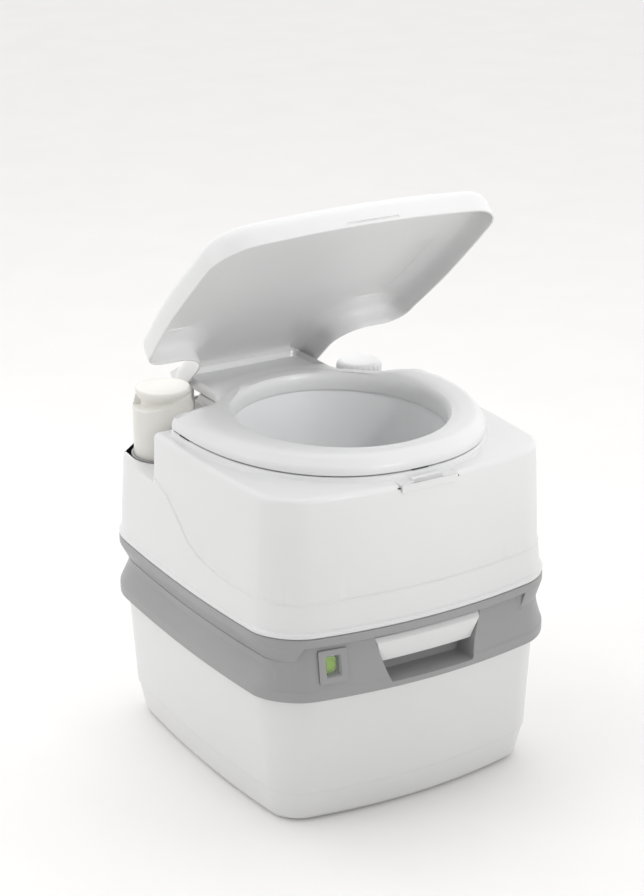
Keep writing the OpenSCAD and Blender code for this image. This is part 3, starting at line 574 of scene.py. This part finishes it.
def make_flush_tank():
    climb = step_height(inset_plan(6)) - STEP_Z

    def ring(z, inset, share):
        """A ring whose height follows the step's climb by this share."""
        edge = inset_plan(inset)
        extra = profile_at(UPPER_PROFILE, z + climb * share) - profile_at(UPPER_PROFILE, z)
        out = at(edge, z)
        out[:, 2] += climb * share
        return out + np.column_stack([(inset_plan(inset + 1) - edge) * extra[:, None], np.zeros(len(edge))])

    low = [ring(z, i, max(0, (z - 238) / 27) if z > 238 else 0) for z, i in TANK_PROFILE]
    ledge = [ring(264.5, 5.45, 1), ring(264.9, 5.6, 1), ring(265.2, 6.3, 1), ring(265.5, 6.55, 1)]
    high = [ring(z, i, 1 - (z - 266) / 101) for z, i in UPPER_PROFILE]
    edge = [at(inset_plan(10.5 + EDGE_R * (1 - math.cos(a))), DECK_Z - EDGE_R * (1 - math.sin(a)))
            for a in (math.radians(v) for v in range(0, 91, 15))]
    shell = mesh_object("shell", loft(low + ledge + high[1:] + edge))
    hollow = [(220, 4.6), (236, 6.6), (262, 9), (330, 12), (366, 14), (377.6, 21)]
    core = mesh_object("core", loft([at(inset_plan(i), z) for z, i in hollow]))
    combine(core, "DIFFERENCE", [
        alcove(-1, PUMP_SHELF, WALL), alcove(1, FILL_SHELF, WALL), hinge_well(96, WALL),
        block((-24, 199, 220), (24, 260, 254)),
    ])
    combine(shell, "DIFFERENCE", [core])
    # The platform under the seat, whose foot stays inside the closed lid's rim.
    rise = [(378, -3.3), (379.3, -3.3), (380.06, -2.6), (380.4, -1.7), (381.8, -1.2), (383.7, -0.6),
            (385.2, 0.4), (385.9, 1.4), (PLATFORM_Z, 3.5)]
    platform = mesh_object("platform", loft([at(seat_plan(i), z) for z, i in rise]))
    keep = loft([at(inset_plan(i), z) for z, i in ((370, 11), (376.5, 12.5), (DECK_Z, 17.5), (392, 18.6))])
    combine(platform, "INTERSECT", [keep])
    combine(shell, "UNION", [platform])
    catch_gap = rounded([[-35.3, -260], [35.3, -260], [35.3, -189.8], [-35.3, -189.8]], [0, 0, 2, 2])
    combine(shell, "DIFFERENCE", [
        alcove(-1, PUMP_SHELF, 0), alcove(1, FILL_SHELF, 0), hinge_well(94, 0),
        prism(ellipse(OPENING_A + 7.4, OPENING_B + 7.4, OPENING_Y), 360, 400),
        prism(circle(*PUMP, 37.7), 300, 330), prism(circle(*FILL, 22.3), 325, 350),
        prism(catch_gap, 375.6, 392),
        block((-20.5, 203.5, 200), (20.5, 260, 250.5)),
    ])
    for side in (-1, 1):
        x = side * BOSS_X
        web = prism([[168, 338], [182, 338], [182, 365], [168, 365]], x - BOSS_HALF, x + BOSS_HALF, "x")
        combine(shell, "UNION", [rod(x - BOSS_HALF, x + BOSS_HALF, *HINGE[1:], EAR_R), web])
        combine(shell, "DIFFERENCE", [rod(x - 20, x + 20, *HINGE[1:], 4.03)])
    combine(shell, "UNION", [block((-20.5, 203.4, 235), (20.5, 207.5, 238.5))])
    piece("flush_tank_wall", shell, WHITE, "flush_tank", ["flush_tank_shell"], bevel=1.1, angle=40, sharp=26)


def alcove(side, shelf, grow):
    """The space of a rear corner, for the pump or for the fill neck, with round inner corners."""
    r = 9 + grow
    x, y = ALCOVE_X - grow, ALCOVE_Y - grow
    outline = rounded([[x, y], [300, y], [300, 300], [x, 300]], [r, 0, 0, 0], n=8) * [side, 1]
    return prism(outline, shelf - grow, 500)


def hinge_well(half, grow):
    outline = rounded([[150 - grow, 500], [150 - grow, 352 - grow], [172, 345 - grow], [216, 311 - grow],
                       [300, 311 - grow], [300, 500]], [0, 5, 8, 0, 0, 0])
    return prism(outline, -half, half, "x")


# Height, half width, half depth and middle y of the bowl's ellipses.
BOWL_PROFILE = [
    (214, 44.5, 44.5, -10), (232, 44.5, 44.5, -10), (246, 54, 56, -12), (268, 73, 79, -16),
    (290, 87.5, 95, -19.6), (296, 90, 98, -20.4), (298.6, 91.4, 99.6, -20.8),
    (299.4, 93, 101.4, -21), (299.9, 100, 109.6, -21.8),
    (301, 101.6, 111.4, -22), (320, 106.8, 117, -23), (345, 113, 124, -24.2), (370, 117.6, 129.6, -25),
    (384.6, 120.2, 132.4, -25), (386, 121, 133, -25)]


def make_bowl():
    z, a, b, y = np.array(BOWL_PROFILE, float).T
    fine = np.concatenate([[z[0]], *[np.linspace(p, q, 4)[1:] for p, q in zip(z, z[1:])]])
    steps = list(zip(fine, *(np.interp(fine, z, v) for v in (a, b, y))))
    outer = [at(ellipse(p, q, c), h) for h, p, q, c in steps]
    inner = [at(ellipse(p - 3, q - 3, c), h) for h, p, q, c in steps[::-1]]
    bowl = mesh_object("bowl", loft(outer + inner, ends=False))
    combine(bowl, "DIFFERENCE", [rod(-130, -95, OPENING_Y, NOZZLE_Z, 7.2)])
    piece("bowl_skin", bowl, BOWL, "flush_tank", ["bowl"], angle=40)


# ---------------------------------------------------------------- seat and lid outlines
FILLET = (127, 115.5, 38.5)          # the hollow curve beside the seat's neck: middle and radius
LID_CORNER = (144, 49, 28)
SEAT_GAP = 4.5                       # from the lid's outline to the seat's, at the rear
SEAT_A, SEAT_B, SEAT_MID_Y = 167.5, 212.5, 26.5
SEAT_END_Y, LID_END_Y = 203, 184     # rear ends of the two necks
LID_A, LID_FRONT = 180, -203


def neck_side(i, corner_r, reach, end_y):
    """The right rear part of an outline: the corner, the hollow curve and the neck to its end."""
    fx, fy = FILLET[:2]
    x, top = fx - reach - i, end_y - min(i, 10)
    neck = rounded([[x, fy], [x, top], [0, top]], [0, 9, 0], closed=False, n=6)[1:-1]
    return np.vstack([arc(*LID_CORNER[:2], corner_r - i, 0, 90, 10), arc(fx, fy, reach + i, -90, -180, 14),
                      between([x, fy], neck[0], 7), neck, between(neck[-1], [0, top], 10)])


def mirrored(half):
    """A closed outline from its right half, which runs from the front middle to the rear middle."""
    left = half[::-1] * [-1, 1]
    keep = np.abs(left[:, 0]) > 0.01
    return np.vstack([half, left[keep]])


def seat_plan(i):
    t, e = np.radians(np.linspace(-90, 0, 37)), 2 / 2.26
    front = np.column_stack([(SEAT_A - i) * np.cos(t) ** e, SEAT_MID_Y - (SEAT_B - i) * (-np.sin(t)) ** e])
    rear = neck_side(i, LID_CORNER[2] - SEAT_GAP - 0.5, FILLET[2] + SEAT_GAP + 1.7, SEAT_END_Y)
    return mirrored(np.vstack([front[:-1], rear]))


def make_seat():
    rel = seat_plan(0) - [0, OPENING_Y]

    def opening(grow):
        """The opening's ellipse, in step with the outline's points."""
        size = np.hypot(rel[:, 0] / (OPENING_A + grow), rel[:, 1] / (OPENING_B + grow))
        return rel / size[:, None] + [0, OPENING_Y]

    hole = opening(0)

    def towards(t, outline):
        return outline * (1 - t) + hole * t

    def top(points):
        """The seat's height: a round rim at the opening that falls away to a thin outer skirt."""
        gone = np.hypot(*(points - hole).T)
        return SEAT_TOP - 9.6 * smooth(30, 82, gone) - 5 * smooth(40, 72, points[:, 1]) * smooth(6, 26, gone)

    rings = [at(seat_plan(i), SEAT_BOTTOM + dz)
             for i, dz in ((0.8, 0), (0, 0.8), (0, 4), (0.5, 7), (1.8, 9.6), (3.8, 11.4))]
    shoulder = seat_plan(6.5)
    crest = top(shoulder)
    rings.append(np.column_stack([shoulder, np.minimum(crest - 1.2, SEAT_BOTTOM + 15.5)]))
    for t in (0.1, 0.2, 0.3, 0.4, 0.5, 0.6, 0.7, 0.78, 0.85):
        p = towards(t, shoulder)
        gone = np.hypot(*(p - hole).T)
        rings.append(np.column_stack([p, top(p) - 1.5 * smooth(16, 6, gone) - 1.6 * smooth(0.22, 0, t)]))
    rings += [at(opening(grow), z) for grow, z in (
        (3.6, 404.6), (1.8, 402.6), (0.6, 399.6), (0, 396), (0.1, 391), (0.6, 386.6), (1, 384.6), (1.6, 384),
        (2.2, 384.4), (2.6, 388.6))]
    under = [at(opening(5), 396)]
    for t in (0.8, 0.55, 0.3):
        p = towards(t, shoulder)
        under.append(np.column_stack([p, top(p) - 4.4]))
    under.append(np.column_stack([seat_plan(7), np.minimum(crest - 5, SEAT_BOTTOM + 11)]))
    under += [at(seat_plan(i), SEAT_BOTTOM + dz) for i, dz in ((3.4, 7), (3, 0.4), (2.4, 0))]
    seat = mesh_object("seat", loft(rings + under, ends=False))
    add_ears(seat, 79.5, 82.9, SEAT_BOTTOM + 7)
    piece("seat_ring", seat, WHITE, "seat", ["seat"], angle=40)


def add_ears(obj, x0, x1, top):
    """Two flat arms down to the hinge pins, with their bores."""
    y, z = HINGE[1:]
    ear = np.vstack([[[y + EAR_R, top], [y - EAR_R, top]], arc(y, z, EAR_R, 180, 360, 16)])
    for side in (-1, 1):
        low, high = sorted((side * x0, side * x1))
        combine(obj, "UNION", [prism(ear, low, high, "x")])
    combine(obj, "DIFFERENCE", [rod(-100, 100, y, z, PIN_BORE_R)])


def lid_plan(i):
    flat = np.column_stack([np.linspace(0, 130, 14) * (1 - i / LID_A), np.full(14, LID_FRONT + i)])
    side = np.column_stack([np.full(16, LID_A - i), np.linspace(-150, 40, 16)])
    corner = arc(LID_A - 42, LID_FRONT + 42, 42 - min(i, 34), -90, 0, 14)
    x, y = np.vstack([flat, corner, side]).T
    taper = 9 * (np.maximum(0, y + 65) / 114) ** 2
    nose = 4 * (np.maximum(0, -65 - y) / 138) ** 2 * np.minimum(1, x / 100)
    bow = 16 * (x / LID_A) ** 2 * np.maximum(0, y / LID_FRONT)
    front = np.column_stack([x - taper - nose, y + bow])
    return mirrored(np.vstack([front, neck_side(i, LID_CORNER[2], FILLET[2], LID_END_Y)]))


def lid_turn():
    """The turn about the hinge from the closed place to the open one."""
    h = Matrix.Translation(HINGE)
    return h @ Matrix.Rotation(math.radians(-LID_OPEN), 4, "X") @ h.inverted()


def make_lid():
    r = LID_RIM

    def lift(p, i, z, rear):
        """Heights for a ring: across the neck's rear edge it rises, so nothing hangs behind the hinge."""
        lifted = (p[:, 1] > 165) & (np.abs(p[:, 0]) < 87.9 - i)
        return np.column_stack([p, np.where(lifted, rear, z)])

    def ring(i, z, rear):
        return lift(lid_plan(i), i, z, rear)

    def slope_ring(i, wide, z, rear):
        """An inner ring that stands further in, by up to wide, along the sides and rear corners."""
        p = lid_plan(0)
        share = smooth(-185, -60, p[:, 1]) * smooth(60, 120, np.abs(p[:, 0])) * smooth(100, 70, p[:, 1])
        rings = np.array([lid_plan(k) for k in (i, i + 6, i + 12)])
        k = share * wide / 6
        low = np.minimum(k.astype(int), 1)
        t = (k - low)[:, None]
        cols = np.arange(len(p))
        return lift(rings[low, cols] * (1 - t) + rings[low + 1, cols] * t, i, z, rear)

    def crown(k, z):
        p = lid_plan(14)
        return at(np.column_stack([p[:, 0] * k, -60 + (p[:, 1] + 60) * k]), z)

    inside = [crown(0.3, r + 31), crown(0.6, r + 30.8), crown(0.8, r + 30.6), crown(0.92, r + 30.2),
              slope_ring(17, 8, r + 28.4, r + 30.3), ring(9, r + 24, r + 30.2), ring(4.6, r + 20, r + 30.1),
              ring(3, r + 15, r + 30), ring(3, r + 6, r + 29.8), ring(3, r + 1, r + 29.5),
              ring(2.4, r, r + 29.2)]
    outside = [ring(0.6, r, r + 29.2), ring(0, r + 0.8, r + 29.5), ring(0, r + 14, r + 30.2),
               ring(0.4, r + 18, r + 30.6), ring(1.8, r + 22, r + 31), ring(4.2, r + 25.4, r + 31.5),
               ring(7.6, r + 28, r + 32), ring(13, r + 30.2, r + 32.5),
               crown(0.97, r + 31.4), crown(0.85, r + 32.6), crown(0.6, r + 33.3), crown(0.3, r + 33.6)]
    lid = mesh_object("lid", loft(inside + outside))
    add_ears(lid, 84.7, 87.9, r + 14)
    combine(lid, "DIFFERENCE", [block((-32, LID_FRONT - 3, r + 2.4), (32, LID_FRONT + 1.3, r + 5.2))])
    lid.data.transform(scaled(lid_turn()))
    piece("lid_shell", lid, WHITE, "lid", ["lid"], angle=32)


def scaled(matrix):
    """A turn written in millimetres, for meshes in metres."""
    out = matrix.copy()
    out.translation *= MM
    return out


# ---------------------------------------------------------------- pump, fill cap and catch
def make_pump():
    angles = np.radians(np.arange(0, 360, 3))
    x, y = PUMP

    def ring(z, radius):
        return at(np.column_stack([x + radius * np.cos(angles), y + radius * np.sin(angles)]), z)

    # Two finger scoops: a ledge that climbs half way round, from the body's top to under the disc.
    turn = np.mod(angles - math.radians(150), math.pi) / math.pi
    ledge = 381.5 + 13 * smooth(0.12, 0.92, turn)
    rings = [ring(318, 32.4), ring(318, 34.2), ring(319, 35)] + [ring(z, 35) for z in (340, 360, 376)]
    for share in np.linspace(0, 1, 22):
        z = 377 + share * 20
        above = smooth(-0.8, 1.6, z - ledge)
        neck = 25.6 + 5 * smooth(388, 397.5, z)
        body = 35 - 3.6 * smooth(378, 397, z)
        rings.append(ring(z, body * (1 - above) + np.minimum(neck, body) * above))
    disc = [(397.8, 31), (398.8, 31.4), (401.4, 31.4), (402.8, 31), (403.5, 30), (403.4, 28), (402.6, 20),
            (402, 8)]
    rings += [ring(z, r) for z, r in disc]
    inside = [ring(368, 2), ring(368, 30), ring(366, 32), ring(330, 32)]
    piece("pump_push_cap", loft(inside + rings), IVORY, "pump_plunger", ["pump_cap"], angle=50)


def make_fill_cap():
    x, y = FILL
    t = np.radians(np.arange(0, 360, 2.5))
    wave = np.abs(np.cos(12 * t)) ** 0.6

    def ring(z, radius, grip=0.0):
        rr = radius - grip * (1 - wave)
        return at(np.column_stack([x + rr * np.cos(t), y + rr * np.sin(t)]), z)

    under = [ring(378.5, 3), ring(378.5, 24.4)]
    skirt = [ring(354, 24.4), ring(354, 27.2), ring(354.6, 28), ring(357.4, 28), ring(358.4, 27.4)]
    grip = [ring(359.4, 27.4, 0.2), ring(361, 27.4, 1.1), ring(388, 27.2, 1.1), ring(390, 26.9, 0.9),
            ring(391.6, 26.2, 0.4)]
    top = [ring(393.2, 25), ring(394.4, 23.4), ring(395, 21), ring(394.7, 19), ring(394.2, 12), ring(394, 3)]
    piece("fill_screw_cap", loft(under + skirt + grip + top), WHITE, "fill_cap", ["fill_cap"], angle=35)


def make_catch():
    tab = rounded([[-35, -204.2], [-35, -190], [35, -190], [35, -204.2]], [1.5, 2, 2, 1.5])
    catch = mesh_object("catch", prism(tab, 375.8, 380.3))
    lip = rounded([[-35, 371.4], [35, 371.4], [35, 380.3], [-35, 380.3]], [2.5, 2.5, 0.5, 0.5])
    bridge = rounded([[-20, 378], [20, 378], [19, 383.4], [-19, 383.4]], [0, 0, 1.6, 1.6])
    combine(catch, "UNION", [prism(lip, -205, -202.8, "y"), prism(bridge, -199.4, -194.6, "y")])
    combine(catch, "DIFFERENCE", [block((-17, -204, 379), (17, -199.4, 381.9))])
    piece("catch_plate", catch, WHITE, "flush_tank", ["latch_catch"], bevel=0.5, angle=35)


# ---------------------------------------------------------------- the nodes that keep their CAD shape
FINISHES = {
    WHITE: ["flush_tank_base", "pump_well", "fill_neck", "pour_spout"],
    DARK: ["valve_guide", "valve_collar", "valve_rod", "valve_blade", "float_arm", "vent_button", "spout_cap",
           "tank_latch", "rinse_nozzle", "pump_piston", "pump_barrel", "flush_hose"],
    RUBBER: ["lip_seal", "rod_seal", "vent_seal", "spout_seal", "spout_cap_seal", "outlet_seal",
             "pump_foot_valve", "piston_seal", "fill_cap_seal", "seat_bumpers"],
    GREY: ["pump_collar"],
    STEEL: ["valve_screws", "float_pin", "latch_pin", "hinge_pins", "pump_rod", "vent_spring", "pump_spring"],
    IVORY: ["float"],
}


def finish_cad_nodes():
    for material, names in FINISHES.items():
        for name in names:
            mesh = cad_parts[name].data
            mesh.materials.clear()
            mesh.materials.append(material)
            mesh.shade_smooth()
            mesh.set_sharp_from_angle(angle=math.radians(30))


make_camera()
make_studio()
finish_cad_nodes()
make_waste_tank()
make_band()
make_level_window()
make_handle()
make_flush_tank()
make_bowl()
make_seat()
make_lid()
make_pump()
make_fill_cap()
make_catch()
